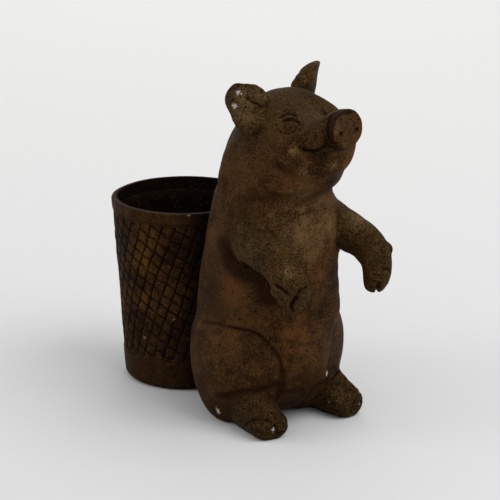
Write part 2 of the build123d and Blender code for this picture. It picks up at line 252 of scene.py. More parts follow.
class Clay:
    """A mesh as arrays of points, normals and edges, which the thumb and the tool can move."""

    def __init__(self, mesh):
        self.mesh = mesh
        flat_edges = np.zeros(2 * len(mesh.edges), int)
        mesh.edges.foreach_get("vertices", flat_edges)
        self.edges = flat_edges.reshape(-1, 2)
        flat_points = np.zeros(3 * len(mesh.vertices))
        mesh.vertices.foreach_get("co", flat_points)
        self.points = flat_points.reshape(-1, 3)
        self.counts = np.bincount(self.edges.ravel(), minlength=len(self.points))
        self.settle()

    def settle(self):
        """Writes the points to the mesh and reads the normals back."""
        self.mesh.vertices.foreach_set("co", self.points.ravel())
        self.mesh.update()
        flat_normals = np.zeros(3 * len(self.points))
        self.mesh.vertex_normals.foreach_get("vector", flat_normals)
        self.normals = flat_normals.reshape(-1, 3)

    def mean(self, values):
        """The mean of each point's neighbours."""
        first, second = self.edges.T
        size = len(self.points)
        columns = [np.bincount(first, column[second], size) + np.bincount(second, column[first], size)
                   for column in values.T]
        return np.stack(columns, 1) / np.maximum(self.counts, 1)[:, None]

    def relax(self, rounds, share):
        """Smooths by a share of the way to the neighbours' mean, which may differ from point to point."""
        share = np.broadcast_to(share, len(self.points))[:, None]
        for _ in range(rounds):
            self.points = self.points + share * (self.mean(self.points) - self.points)

    def fill(self, rounds, share, pause=15):
        """Fills hollows and leaves what stands out: the points only move outwards."""
        for k in range(rounds):
            if k % pause == 0:
                self.settle()
            rise = ((self.mean(self.points) - self.points) * self.normals).sum(1)
            self.points = self.points + self.normals * (share * np.maximum(rise, 0))[:, None]
        self.settle()

    def tree(self):
        """A search tree of the faces as they are now."""
        faces = [tuple(face.vertices) for face in self.mesh.polygons]
        return BVHTree.FromPolygons(self.points.tolist(), faces)

    def press(self, path, width, depth, only):
        """A stroke of the tool along a path: a groove, or a ridge where the depth is negative."""
        near = np.flatnonzero(((self.points > path.min(0) - STROKE_REACH * width)
                               & (self.points < path.max(0) + STROKE_REACH * width)).all(1))
        spots = self.points[near]
        nearest = np.full(len(near), np.inf)
        along = np.zeros(len(near))
        for k in range(len(path) - 1):
            run = path[k + 1] - path[k]
            t = np.clip((spots - path[k]) @ run / (run @ run), 0, 1)
            gap = np.linalg.norm(spots - path[k] - t[:, None] * run, axis=1)
            closer = gap < nearest
            nearest[closer] = gap[closer]
            along[closer] = (k + t[closer]) / (len(path) - 1)
        ends = np.clip(np.minimum(along, 1 - along) / STROKE_TAPER, 0, 1)
        amount = depth * np.exp(-(nearest / width) ** 2) * ends * only[near]
        self.points[near] -= self.normals[near] * amount[:, None]

    def near(self, path, width):
        """How near each point is to a path, from 1 on it to 0 far away."""
        gap = np.min([np.linalg.norm(self.points - spot, axis=1) for spot in np.asarray(path, float)], axis=0)
        return np.exp(-(gap / width) ** 2)

    def push(self, path, width, shift, only):
        """Pushes the clay round a path sideways, as a thumb does."""
        self.points = self.points + (self.near(path, width) * only)[:, None] * np.asarray(shift)

    def knead(self, size, height, seed):
        """Uneven clay: bumps of a size, up to a height."""
        shift = Vector((seed, 2 * seed, 3 * seed))
        lift = [noise.noise(Vector(point) / size + shift) for point in self.points]
        self.points = self.points + self.normals * (height * np.array(lift))[:, None]


def rounded_path(points, steps=6):
    """A smooth path through a few points."""
    points = [np.asarray(p, float) for p in points]
    padded = [2 * points[0] - points[1]] + points + [2 * points[-1] - points[-2]]
    path = []
    for before, here, there, after in zip(padded, padded[1:], padded[2:], padded[3:]):
        for k in range(steps):
            t = k / steps
            path.append(0.5 * (2 * here + (there - before) * t
                               + (2 * before - 5 * here + 4 * there - after) * t * t
                               + (3 * here - before - 3 * there + after) * t ** 3))
    return np.array(path + [points[-1]])


forms = [outside_of_trunk(), outside_of_head(), full_ear("ear_left"), full_ear("ear_right")]
forms += [merged_copy(node) for node in LUTED[2:] if not node.startswith("ear")]
skin = Clay(remeshed(forms, SKIN_GRAIN))
skin.relax(*SKIN_SMOOTHING)

# The luting
# Slip and a wet thumb smooth each joint: widely round the forelegs and the neck, narrowly along the haunch,
# where a crease is left. The reach is how far from the joint the clay was worked.
REACH = {"head": 8.0 * MM, "snout_disc": 3.5 * MM, "ear": 4.0 * MM, "foreleg": 5.0 * MM, "haunch": 2.5 * MM,
         "hind_foot": 4.5 * MM}
SHOULDER_REACH = 26.0 * MM
SHOULDER_FULL = 1.3
SHOULDER_FILL = 0.8
SHOULDER_ROUNDS = 260
UPPER_SIDE_FROM = -0.25
UPPER_SIDE_SPAN = 0.35
FAR = 30.0 * MM
LUTING_ROUNDS = 40
LUTING_SHARE = 0.6
LAST_SMOOTHING = (3, 0.4)
OWNER_ROUNDS = 40


def distances(node, points):
    """The distance from a CAD node to each point, up to a limit."""
    form = merged_copy(node)
    tree = BVHTree.FromBMesh(form)
    low, high = (np.array(corner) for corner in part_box(node))
    gaps = np.full(len(points), FAR)
    for k in np.flatnonzero(((points > low - FAR) & (points < high + FAR)).all(1)):
        found = tree.find_nearest(points[k], FAR)
        if found[3] is not None:
            gaps[k] = found[3]
    return gaps


def kind_of(node):
    """The sort of piece that a node is, without its side."""
    return node.replace("_left", "").replace("_right", "").replace("_shell", "")


def joint_distance(node):
    """The distance of each point from the joint between a piece and its neighbours."""
    others = np.min([gaps[other] for other in LUTED if other != node], axis=0)
    return np.maximum(gaps[node], others)


gaps = {node: distances(node, skin.points) for node in LUTED}
shares = np.eye(len(LUTED))[np.argmin(np.stack([gaps[node] for node in LUTED]), axis=0)]
for _ in range(OWNER_ROUNDS):
    shares = skin.mean(shares)
owner = shares.argmax(1)
nearness = np.zeros(len(skin.points))
shoulder = np.zeros(len(skin.points))
for node in LUTED[1:]:
    joint = joint_distance(node)
    nearness = np.maximum(nearness, np.clip(1 - joint / REACH[kind_of(node)], 0, 1))
    if kind_of(node) == "foreleg":
        upper_side = np.clip((skin.normals[:, 2] - UPPER_SIDE_FROM) / UPPER_SIDE_SPAN, 0, 1)
        shoulder = np.maximum(shoulder, upper_side * np.clip(SHOULDER_FULL - joint / SHOULDER_REACH, 0, 1))
skin.fill(SHOULDER_ROUNDS, SHOULDER_FILL * shoulder)
skin.relax(LUTING_ROUNDS, LUTING_SHARE * nearness * (2 - nearness))
skin.relax(*LAST_SMOOTHING)
skin.settle()

# The modelling of the skin
# A thumb evens the soft clay, and creases, lids and folds are then drawn with a wooden tool, most of them on
# both sides. Each path is traced on the photograph and falls on the skin along the line of sight.
BROW_CREASE = ((280, 117.5), (284, 115.5), (289, 114), (293, 115), (297.5, 117.5))
BROW_RIDGE = ((283, 118.5), (289, 116.5), (294, 117.5), (299, 120.5))
LID_CREASE = ((284, 121), (288, 119.5), (293, 119.8), (297, 121.5), (301, 124.5))
LID_UNDER = ((279, 130), (282, 132.5), (286, 133.8), (292, 131.5))
CHEEK_DIMPLE = ((298.5, 140), (299.5, 144), (301, 148))
SMILE = ((300, 146), (304, 149.5), (310, 151), (315, 150.5), (320, 149), (326, 146), (333, 147.5), (342, 149),
         (351, 147))
MUZZLE_HOLLOW = ((325, 137), (327, 143))
LIP_FOLD = ((303, 156), (309, 158), (316, 157), (324, 154))
JOWL_CREASE = ((240, 200), (270, 198), (300, 194), (320, 190), (333, 188))
COLLAR_CREASE = ((207, 224), (235, 224), (262, 222), (290, 217), (315, 211), (335, 205))
ELBOW_BEND = ((252, 272), (258, 277), (263, 283))
PAW_SIDE = ((280, 293), (286, 301), (292, 307))
FAR_EAR_EDGE = ((296, 88), (300, 84), (304, 78), (309, 71))
FAR_BROW = ((319, 102), (324, 107), (329, 112))
EAR_LOBE = ((229, 116), (233, 123))
SNOUT_ROOT = ((330, 108), (334, 111))
NAPE = ((226, 160), (224, 168), (222, 176))
FAR_SHOULDER = ((331, 199), (336, 208), (345, 216))
FAR_ELBOW = ((365, 231), (375, 239), (383, 248))
FAR_FOREARM = ((344, 247), (351, 250), (357, 256))
FAR_SIDE = ((334, 256), (334, 270), (335, 288), (336, 304))
FAR_WAIST = ((337, 334), (337, 349), (334, 361))
FAR_INSTEP = ((337, 379), (344, 387), (350, 394))
BELLY_LIP = ((287, 405), (295, 406), (304, 405), (314, 403))
NEAR_TOES = ((282, 422), (283, 430))
EAR_TOP = ((238, 89), (246, 89), (254, 91), (261, 95))
FORELEG_FOLD = ((222, 240), (230, 254), (240, 264), (252, 269), (266, 273))
HAUNCH_CREASE = ((203, 322), (215, 323), (235, 328), (250, 331), (262, 337), (272, 348), (279, 358),
                 (282, 372), (280, 381))
WRIST_KNOB = ((284, 271), (289, 273))
PAW_NAIL = ((275, 284), (282, 289), (289, 295))
PAW_FAR_NAIL = ((307, 286), (302, 290), (297, 294))
PAW_CLEFT = ((298, 296), (294, 301), (291, 306), (293, 311))
NAIL_CREASE = ((243, 428), (248, 423), (255, 420), (265, 420), (271, 423))
TOE_CLEFT = ((273, 423), (277, 430), (279, 436))
EAR_FLAP = ((251, 92), (258, 95), (264, 99), (268, 104))
EAR_FLAP_CREASE = ((246, 95), (249, 99.5), (254, 103), (260, 105.5), (266, 109))
EAR_RIM = ((239, 88), (234, 95), (233, 103), (235, 112), (239, 120), (245, 129))
EAR_ROOT = ((243, 133), (250, 135), (258, 133), (263, 127))


def on_skin(pixels, tree):
    """The places on the skin that the pixels show."""
    places = [tree.ray_cast(VIEW_FROM, sight_line(pixel))[0] for pixel in pixels]
    return [place for place in places if place is not None]


def in_view(shift):
    """A shift in pixels of the photograph as a shift of the clay, square to the line of sight."""
    return np.array(view_turn @ Vector((shift[0] * PIXEL, -shift[1] * PIXEL, 0)))


def share_of(kind):
    """1 on the points of a kind of piece and 0 elsewhere."""
    return np.isin(owner, [k for k, node in enumerate(LUTED) if kind in (None, kind_of(node))]).astype(float)


def both_sides(path):
    """A path and its mirror image on the pig's other side."""
    return [path, np.asarray(path) * (-1, 1, 1)]


PUSHES = (
    (ELBOW_BEND, 9 * MM, (4.0, -8.0), "foreleg"),
    (PAW_SIDE, 7 * MM, (-7.0, 1.5), "foreleg"),
)
FAR_BROW_WIDTH = 9 * MM
FAR_BROW_PUSH = (-6.0, 3.0)
NEAR_PUSHES = (
    (FAR_EAR_EDGE, 10 * MM, (-7.5, -1.5), "ear"),
    (EAR_TOP, 8 * MM, (0.5, -3.5), "ear"),
    (FAR_BROW, FAR_BROW_WIDTH, FAR_BROW_PUSH, "head"),
    (EAR_LOBE, 7 * MM, (4.0, 0.0), "ear"),
    (SNOUT_ROOT, 6 * MM, (-4.0, 3.0), "head"),
    (NAPE, 12 * MM, (-3.0, 0.0), None),
    (FAR_SHOULDER, 10 * MM, (2.5, -2.5), None),
    (FAR_ELBOW, 9 * MM, (2.5, -2.0), "foreleg"),
    (FAR_FOREARM, 7 * MM, (-0.5, 3.0), "foreleg"),
    (FAR_SIDE, 14 * MM, (3.5, 0.0), "trunk"),
    (FAR_WAIST, 11 * MM, (-4.5, 0.0), None),
    (FAR_INSTEP, 9 * MM, (3.0, -4.5), "hind_foot"),
    (BELLY_LIP, 8 * MM, (0.0, -4.0), "trunk"),
    (NEAR_TOES, 7 * MM, (2.5, 0.0), "hind_foot"),
)
bare_tree = skin.tree()
for pixels, width, shift, kind in PUSHES:
    places = np.array(on_skin(pixels, bare_tree))
    for mirror in ((1, 1, 1), (-1, 1, 1)):
        skin.push(places * mirror, width, in_view(shift) * mirror, share_of(kind))
far_brow = on_skin(FAR_BROW, bare_tree)
for pixels, width, shift, kind in NEAR_PUSHES:
    skin.push(on_skin(pixels, bare_tree), width, in_view(shift), share_of(kind))
skin.settle()
bare_tree = skin.tree()
STROKES = (
    (BROW_CREASE, 1.0 * MM, 1.2 * MM, "head"),
    (BROW_RIDGE, 1.3 * MM, -0.9 * MM, "head"),
    (LID_CREASE, 1.0 * MM, 1.6 * MM, "head"),
    (LID_UNDER, 0.9 * MM, 0.8 * MM, "head"),
    (CHEEK_DIMPLE, 2.2 * MM, 0.6 * MM, "head"),
    (SMILE, 0.9 * MM, 1.1 * MM, "head"),
    (MUZZLE_HOLLOW, 4.0 * MM, 0.8 * MM, "head"),
    (LIP_FOLD, 2.0 * MM, 0.5 * MM, "head"),
    (FORELEG_FOLD, 3.0 * MM, 1.4 * MM, "trunk"),
    (HAUNCH_CREASE, 1.4 * MM, 0.9 * MM, None),
    (WRIST_KNOB, 4.0 * MM, -1.8 * MM, "foreleg"),
    (PAW_NAIL, 1.1 * MM, 1.4 * MM, "foreleg"),
    (PAW_FAR_NAIL, 1.1 * MM, 1.4 * MM, "foreleg"),
    (PAW_CLEFT, 1.5 * MM, 3.6 * MM, "foreleg"),
    (NAIL_CREASE, 1.1 * MM, 1.2 * MM, "hind_foot"),
    (TOE_CLEFT, 1.2 * MM, 1.6 * MM, "hind_foot"),
)
NEAR_STROKES = (
    (EAR_FLAP, 4.0 * MM, -2.2 * MM, "ear"),
    (EAR_FLAP_CREASE, 1.8 * MM, 1.4 * MM, "ear"),
    (EAR_RIM, 1.6 * MM, 0.7 * MM, "ear"),
    (EAR_ROOT, 1.8 * MM, 0.5 * MM, None),
    (JOWL_CREASE, 3.0 * MM, 0.5 * MM, None),
    (COLLAR_CREASE, 1.0 * MM, 0.4 * MM, None),
)
SKIN_UNEVENNESS = ((26 * MM, 0.55 * MM, 1.7), (8 * MM, 0.16 * MM, 5.3))
for pixels, width, depth, kind in STROKES:
    for path in both_sides(rounded_path(on_skin(pixels, bare_tree))):
        skin.press(path, width, depth, share_of(kind))
for pixels, width, depth, kind in NEAR_STROKES:
    skin.press(rounded_path(on_skin(pixels, bare_tree)), width, depth, share_of(kind))
skin.settle()
for bumps in SKIN_UNEVENNESS:
    skin.knead(*bumps)
skin.points[:, 2] = np.maximum(skin.points[:, 2], 0)
skin.settle()

# The patina and painted shade
# Brown wax and paint rubbed over the fired clay: darkest in the hollows, worn to red clay on the belly and
# the lips, olive on the limbs and ears, and chipped to the white ground at the edges. Shade is painted into
# the broad creases, under the limbs and along drawn paths, with some dirt, and the colour darkens towards the
# bottom.
PATINA_COLOURS = {
    "Dark": (0.014, 0.006, 0.0019, 1.0),
    "Warm": (0.081, 0.0365, 0.0115, 1.0),
    "Olive": (0.038, 0.0235, 0.0068, 1.0),
    "Worn": (0.155, 0.09, 0.037, 1.0),
    "Clay": (0.11, 0.041, 0.013, 1.0),
    "Shade": (0.0145, 0.0052, 0.0018, 1.0),
    "Grime": (0.0035, 0.0018, 0.0008, 1.0),
    "Chalk": (0.52, 0.5, 0.44, 1.0),
}
GRIME_SHARE = 0.7
WAX_SHEEN = 0.02
MARKS = ("hollow", "fold", "bare", "worn", "chip", "olive")
# The lumps of each grain of the finish: their size, detail and roughness.
GRAINS = {"cloud": (32 * MM, 4, 0.6), "mottle": (7 * MM, 6, 0.68), "speck": (1.2 * MM, 4, 0.75)}
PIT_SPACING = 2.6 * MM
TONE = {"cloud": 1.2, "mottle": 0.7, "speck": 1.5}
TONE_ENDS = (-0.34, 0.34)
# The layers over that tone, from the first to the last: the layer's name and colour, what brings it out and
# how strongly, where it begins and where it is full, and how much it covers.
LAYERS = (
    ("clay", "Clay", {"bare": 1.0, "mottle": 1.4, "cloud": 0.8, "hollow": -0.25}, (0.30, 1.2), 0.6),
    ("stain", "Olive", {"olive": 1.0, "cloud": 1.4, "mottle": 0.9, "speck": 0.6}, (0.15, 1.0), 0.55),
    ("rub", "Worn", {"worn": 1.0, "cloud": 0.7, "mottle": 1.0, "speck": 1.6}, (0.30, 1.15), 0.8),
    # The colour grows darker towards the bottom.
    ("soil", "Dark", {"height": 1.0, "mottle": 60 * MM}, (75 * MM, 5 * MM), 0.55),
    ("shade", "Shade", {"fold": 1.0, "mottle": 0.5, "speck": 0.5}, (0.1, 0.9), 0.95),
    ("dirt", "Grime", {"hollow": 1.0, "mottle": 0.5, "speck": 0.6}, (0.16, 0.95), "Grime Share"),
    ("dots", "Grime", {"pits": 1.0, "speck": 1.1, "mottle": 0.4, "olive": -0.1}, (0.26, 0.06), 0.75),
    ("grit", "Worn", {"speck": 1.0, "mottle": 0.3, "olive": 0.05}, (0.10, 0.22), 0.6),
    ("flake", "Chalk", {"chip": 1.0, "mottle": 1.6, "speck": 2.6}, (0.72, 0.82), 1.0),
)
ROUGHNESS = 0.52
ROUGHER = {"mottle": 0.45, "hollow": 0.12, "flake": 0.35}
RELIEF = {"speck": 1.0, "mottle": 1.8, "dots": -0.6, "flake": -0.8}
RELIEF_STRENGTH = 0.8


def socket(tree, name, direction, kind, value=None):
    """A named input or output of a node group."""
    made = tree.interface.new_socket(name, in_out=direction, socket_type=kind)
    if value is not None:
        made.default_value = value


def sum_of(tree, first, second, factor=1.0):
    """One value plus another times a factor."""
    made = add_node(tree, "ShaderNodeMath", {0: second, 1: factor, 2: first}, operation="MULTIPLY_ADD")
    return made.outputs[0]


def weighed(tree, signals, weights, start=0.0):
    """A start plus the named signals, each times its weight."""
    total = start
    for name, weight in weights.items():
        total = sum_of(tree, total, signals[name], weight)
    return total


def rubbed_patina_and_shade():
    """The node group of the rubbed finish and its painted shade, which reads the hollows, painted shade, bare
    clay, wear, chips and tint of a piece.
    """
    tree = bpy.data.node_groups.new("rubbed_patina_and_shade", "ShaderNodeTree")
    for name, value in PATINA_COLOURS.items():
        socket(tree, name, "INPUT", "NodeSocketColor", value)
    socket(tree, "Grime Share", "INPUT", "NodeSocketFloat", GRIME_SHARE)
    socket(tree, "Color", "OUTPUT", "NodeSocketColor")
    socket(tree, "Roughness", "OUTPUT", "NodeSocketFloat")
    socket(tree, "Height", "OUTPUT", "NodeSocketFloat")
    given = add_node(tree, "NodeGroupInput").outputs
    place = add_node(tree, "ShaderNodeTexCoord").outputs["Object"]
    signals = {name: add_node(tree, "ShaderNodeAttribute", attribute_name=name).outputs["Fac"]
               for name in MARKS}
    for name, (size, detail, roughness) in GRAINS.items():
        lumps = add_node(tree, "ShaderNodeTexNoise", {"Vector": place, "Scale": 1 / size, "Detail": detail,
                                                      "Roughness": roughness})
        signals[name] = sum_of(tree, -0.5, lumps.outputs["Fac"])
    pits = add_node(tree, "ShaderNodeTexVoronoi", {"Vector": place, "Scale": 1 / PIT_SPACING})
    signals["pits"] = pits.outputs["Distance"]
    signals["height"] = add_node(tree, "ShaderNodeSeparateXYZ", {"Vector": place}).outputs["Z"]

    tone = level(tree, weighed(tree, signals, TONE), *TONE_ENDS)
    colour = blend_colours(tree, tone, given["Dark"], given["Warm"])
    for name, tint, weights, ends, cover in LAYERS:
        signals[name] = level(tree, weighed(tree, signals, weights), *ends)
        share = sum_of(tree, 0.0, signals[name], given[cover] if isinstance(cover, str) else cover)
        colour = blend_colours(tree, share, colour, given[tint])
    add_node(tree, "NodeGroupOutput", {
        "Color": colour,
        "Roughness": weighed(tree, signals, ROUGHER, ROUGHNESS),
        "Height": weighed(tree, signals, RELIEF)})
    return tree


patina_and_shade_group = rubbed_patina_and_shade()


def patina_and_shade_material(name, tints, relief_depth):
    """A finish of the rubbed patina and painted shade with its own colours."""
    material = bpy.data.materials.new(name)
    material.use_nodes = True
    tree = material.node_tree
    finish = add_node(tree, "ShaderNodeGroup", node_tree=patina_and_shade_group)
    for socket_name, value in tints.items():
        finish.inputs[socket_name].default_value = value
    bump = add_node(tree, "ShaderNodeBump", {"Height": finish.outputs["Height"], "Strength": RELIEF_STRENGTH,
                                             "Distance": relief_depth})
    shader = tree.nodes["Principled BSDF"]
    shader.inputs["Specular IOR Level"].default_value = WAX_SHEEN
    tree.links.new(finish.outputs["Color"], shader.inputs["Base Color"])
    tree.links.new(finish.outputs["Roughness"], shader.inputs["Roughness"])
    tree.links.new(bump.outputs["Normal"], shader.inputs["Normal"])
    return material


PIG_RELIEF = 1.0 * MM
pig_patina = patina_and_shade_material("pig_patina", {}, PIG_RELIEF)
HOLLOW_DEPTH = 0.45 * MM
HOLLOW_SMOOTHING = (10, 0.5)
BROAD_SHADE_DEPTH = 1.6 * MM
BROAD_SHADE_SMOOTHING = (110, 0.6)
OLIVE_ROUNDS = 30
CROWN_LOW = 205 * MM
CROWN_FADE = 40 * MM
CROWN_OLIVE = 0.8
BARE_SOFTNESS = 0.9
SPOT_SOFTNESS = 1.0
OLIVE_PIECES = ("ear_left", "ear_right", "foreleg_left", "foreleg_right", "hind_foot_left", "hind_foot_right")
BARE_PLACES = (((300, 335), 26), ((306, 160), 6), ((297, 182), 7), ((340, 290), 14), ((345, 165), 8),
               ((235, 285), 16), ((320, 270), 16), ((285, 188), 14))
WORN_PLACES = (((300, 235), 30), ((330, 225), 20), ((355, 222), 16), ((240, 113), 12), ((300, 195), 14),
               ((320, 200), 14), ((334, 130), 5), ((287, 272), 7), ((243, 98), 14), ((259, 96), 9),
               ((247, 117), 12), ((292, 152), 6), ((303, 172), 6), ((335, 165), 5), ((306, 78), 5),
               ((340, 395), 8))
CHIPS = (((239, 93), 3.4), ((235, 106), 3.2), ((218, 411), 4.0), ((235, 424), 3.2), ((273, 430), 2.6),
         ((327, 373), 4.0), ((329, 402), 2.0), ((359, 404), 2.2))
# Painted shade along drawn paths, under the limbs, in creases and on the dim sides: each path, its width, how
# dark it is and the kind of piece it lies on.
SHADES = (
    (((226, 247), (231, 260), (241, 270), (255, 276), (264, 282), (270, 294)), 11 * MM, 1.0, "trunk"),
    (((240, 199), (270, 198), (300, 194), (333, 188)), 6 * MM, 0.5, None),
    (COLLAR_CREASE, 1.4 * MM, 0.6, None),
    (HAUNCH_CREASE, 2.4 * MM, 0.7, None),
    (((282, 372), (281, 388), (276, 398)), 5 * MM, 0.8, "trunk"),
    (((218, 396), (239, 392), (264, 388), (278, 383)), 3.5 * MM, 0.9, None),
    (((328, 377), (313, 388), (302, 402)), 4 * MM, 0.9, None),
    (((331, 118), (328, 130), (327, 142)), 3.5 * MM, 0.7, "head"),
    (BROW_CREASE, 1.3 * MM, 0.9, "head"),
    (LID_CREASE, 1.4 * MM, 1.1, "head"),
    (LID_UNDER, 1.2 * MM, 0.7, "head"),
    (SMILE, 1.5 * MM, 0.8, "head"),
    (PAW_CLEFT, 1.6 * MM, 1.0, "foreleg"),
    (PAW_NAIL, 1.4 * MM, 1.0, "foreleg"),
    (PAW_FAR_NAIL, 1.4 * MM, 1.0, "foreleg"),
    (NAIL_CREASE, 1.2 * MM, 0.8, "hind_foot"),
    (((216, 262), (214, 285), (215, 305)), 20 * MM, 0.5, "trunk"),
    (((262, 98), (280, 103), (300, 100)), 15 * MM, 0.42, "head"),
    (((231, 150), (236, 172)), 11 * MM, 0.4, "head"),
    (((233, 211), (247, 219)), 10 * MM, 0.4, None),
    (((245, 402), (259, 411)), 9 * MM, 0.4, "hind_foot"),
    (((305, 374), (312, 384), (318, 390)), 9 * MM, 0.5, "trunk"),
    (((378, 262), (383, 274)), 7 * MM, 0.45, "foreleg"),
)
chip_tree = skin.tree()


def nearness_to(clay, places, tree, softness):
    """How near each point is to the marked pixels, from 1 at one to 0 a little beyond its radius."""
    amount = np.zeros(len(clay.points))
    for spot, radius in places:
        for centre in on_skin([spot], tree):
            gap = np.linalg.norm(clay.points - np.array(centre), axis=1) / (radius * PIXEL)
            amount = np.maximum(amount, np.clip((1 + softness - gap) / (2 * softness), 0, 1))
    return amount


def marks_of(clay):
    """The finish marks of a piece: its hollows, painted shade with some dirt in its broad hollows, bare clay,
    worn places and chips.
    """
    smooth = Clay(clay.mesh.copy())
    smooth.relax(*HOLLOW_SMOOTHING)
    hollow = ((smooth.points - clay.points) * clay.normals).sum(1) / HOLLOW_DEPTH
    # The broad hollows take painted shade, with some dirt in them too.
    smooth.relax(*BROAD_SHADE_SMOOTHING)
    fold = ((smooth.points - clay.points) * clay.normals).sum(1) / BROAD_SHADE_DEPTH
    return {
        "hollow": np.clip(hollow, -1, 1),
        "fold": np.clip(fold, 0, 1),
        "bare": nearness_to(clay, BARE_PLACES, chip_tree, BARE_SOFTNESS),
        "worn": nearness_to(clay, WORN_PLACES, chip_tree, SPOT_SOFTNESS),
        "chip": nearness_to(clay, CHIPS, chip_tree, SPOT_SOFTNESS),
    }


skin_marks = marks_of(skin)
# The painted shade of the paths, on both sides of the pig.
for pixels, width, strength, kind in SHADES:
    for path in both_sides(rounded_path(on_skin(pixels, chip_tree))):
        shade = strength * skin.near(path, width) * share_of(kind)
        skin_marks["fold"] = np.maximum(skin_marks["fold"], shade)
olive = np.isin(owner, [LUTED.index(node) for node in OLIVE_PIECES]).astype(float)
for _ in range(OLIVE_ROUNDS):
    olive = skin.mean(olive[:, None])[:, 0]
crown = np.clip((skin.points[:, 2] - CROWN_LOW) / CROWN_FADE, 0, CROWN_OLIVE)
skin_marks["olive"] = np.maximum(olive, crown)

# The pieces of the skin
# Each piece takes the faces that lie on its own solid and is closed on the inside where it was luted.
# Its normals stay those of the whole skin, so that the joints don't show.


def write_marks(mesh, marks):
    """Stores the finish marks on a mesh."""
    for name, values in marks.items():
        mesh.attributes.new(name, "FLOAT", "POINT").data.foreach_set("value", values)


def dress(piece, node, material):
    """Puts a finished piece in the place of its CAD node."""
    piece.data.materials.clear()
    piece.data.materials.append(material)
    piece.data.polygons.foreach_set("use_smooth", [True] * len(piece.data.polygons))
    scene.collection.objects.link(piece)
    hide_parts(node)
    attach(piece, "root")


def loop_of(first, links):
    """All the border points that connect to one."""
    found = {first}
    queue = [first]
    while queue:
        for other in links[queue.pop()]:
            if other not in found:
                found.add(other)
                queue.append(other)
    return found


def share_of_skin(node):
    """The mesh of one piece: its faces of the skin and a fan behind each border."""
    faces = skin_faces[face_owner == LUTED.index(node)]
    used = np.unique(faces)
    renumber = np.full(len(skin.points), -1)
    renumber[used] = np.arange(len(used))
    faces = renumber[faces]
    points = skin.points[used]
    sides = np.concatenate([faces[:, [k, (k + 1) % 4]] for k in range(4)])
    known = set(map(tuple, sides))
    border = [(a, b) for a, b in known if (b, a) not in known]
    links = {}
    for a, b in border:
        links.setdefault(a, []).append(b)
        links.setdefault(b, []).append(a)
    hub_of = {}
    hubs = []
    for a, _ in border:
        if a not in hub_of:
            loop = loop_of(a, links)
            hub_of.update(dict.fromkeys(loop, len(points) + len(hubs)))
            hubs.append(points[list(loop)].mean(0))
    fans = [(b, a, hub_of[a]) for a, b in border]
    mesh = bpy.data.meshes.new(node)
    all_points = np.vstack([points] + [np.array(hubs).reshape(-1, 3)])
    mesh.from_pydata(all_points.tolist(), [], faces.tolist() + fans)
    marks = {name: np.append(values[used], np.zeros(len(hubs))) for name, values in skin_marks.items()}
    write_marks(mesh, marks)
    normals = np.vstack([skin.normals[used], np.zeros((len(hubs), 3))])
    mesh.polygons.foreach_set("use_smooth", [True] * len(mesh.polygons))
    mesh.normals_split_custom_set_from_vertices(normals.tolist())
    return mesh


skin_faces = np.array([tuple(face.vertices) for face in skin.mesh.polygons])
face_owner = owner[skin_faces].max(1)
for node in LUTED:
    if node != "snout_disc":
        piece = bpy.data.objects.new(node.replace("_shell", "") + "_clay", share_of_skin(node))
        dress(piece, node, pig_patina)

# The base slab
# A rolled slab of clay that closes the trunk from below, with a round vent for the kiln.
# Its solid has the right shape and takes the same patina.
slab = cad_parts["trunk_base_slab"]
slab.data.materials.clear()
slab.data.materials.append(pig_patina)

# The snout
# A thick disc of clay luted to the muzzle, with nostrils that slip has half filled. It was pressed on
# unevenly, so its face turns a little to the pig's left.
SNOUT_GRAIN = 0.42 * MM
FINE_SMOOTHING = (8, 0.5)
SNOUT_TURN = 0.22
SNOUT_STRETCH = (3.0, 0.0)
SNOUT_UNEVENNESS = ((9 * MM, 0.5 * MM, 3.1), (3 * MM, 0.12 * MM, 4.1))
SNOUT_RIM = 0.72
SNOUT_OLIVE = 0.6
SNOUT_SIDE_SHADE = 0.75
SNOUT_FACE_BARE = 0.3
RUBBED_RIM = ((337, 120), (334, 127), (333, 133), (335, 140))
RUBBED_RIM_WIDTH = 2.0 * MM
RUBBED_RIM_SHARE = 0.9
NOSTRIL_SPREAD = 0.8
NOSTRIL_PIXELS = ((339.5, 133.5), (355.5, 129.5))
NOSTRIL_MOUTH = np.array((5.0, -90.42, 233.02)) * MM
NOSTRIL_AXIS = np.array((0, 0.9934, -0.1148))
NOSTRIL_REACH = 2.0 * MM
NOSTRIL_END = 3.8 * MM
PIT_DEPTH = 0.9 * MM
PIT_FILL = 0.75
PIT_WIDTH = 2.6 * MM
PIT_SHADE = 0.75
PIT_BARE = 0.9

snout = Clay(remeshed([merged_copy("snout_disc")], SNOUT_GRAIN))
snout.relax(*FINE_SMOOTHING)
from_mouth = np.where((True, False, False), np.abs(snout.points), snout.points) - NOSTRIL_MOUTH
bore_depth = from_mouth @ NOSTRIL_AXIS
off_axis = np.linalg.norm(from_mouth - bore_depth[:, None] * NOSTRIL_AXIS, axis=1)
silted = (off_axis < NOSTRIL_REACH) & (bore_depth > PIT_DEPTH) & (bore_depth < NOSTRIL_END)
snout.points -= (silted * PIT_FILL * (bore_depth - PIT_DEPTH))[:, None] * NOSTRIL_AXIS
snout_low, snout_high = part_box("snout_disc")
across = snout.points[:, [0, 2]] - (0, (snout_low.z + snout_high.z) / 2)
inward = np.clip(1 - (across ** 2).sum(1) / snout_high.x ** 2, 0, 1)
snout.points[:, 0] *= 1 + NOSTRIL_SPREAD * inward ** 2
from_seat = (snout_high.y - snout.points[:, 1]) / (snout_high.y - snout_low.y)
snout.points[:, 1] += SNOUT_TURN * snout.points[:, 0] * from_seat
spread = np.clip(snout.points[:, 0] / snout_high.x, 0, 1) * np.clip(from_seat, 0, 1)
snout.points += spread[:, None] * in_view(SNOUT_STRETCH)
snout.settle()
for bumps in SNOUT_UNEVENNESS:
    snout.knead(*bumps)
snout.settle()
snout_marks = marks_of(snout)
snout_faces = snout.tree()
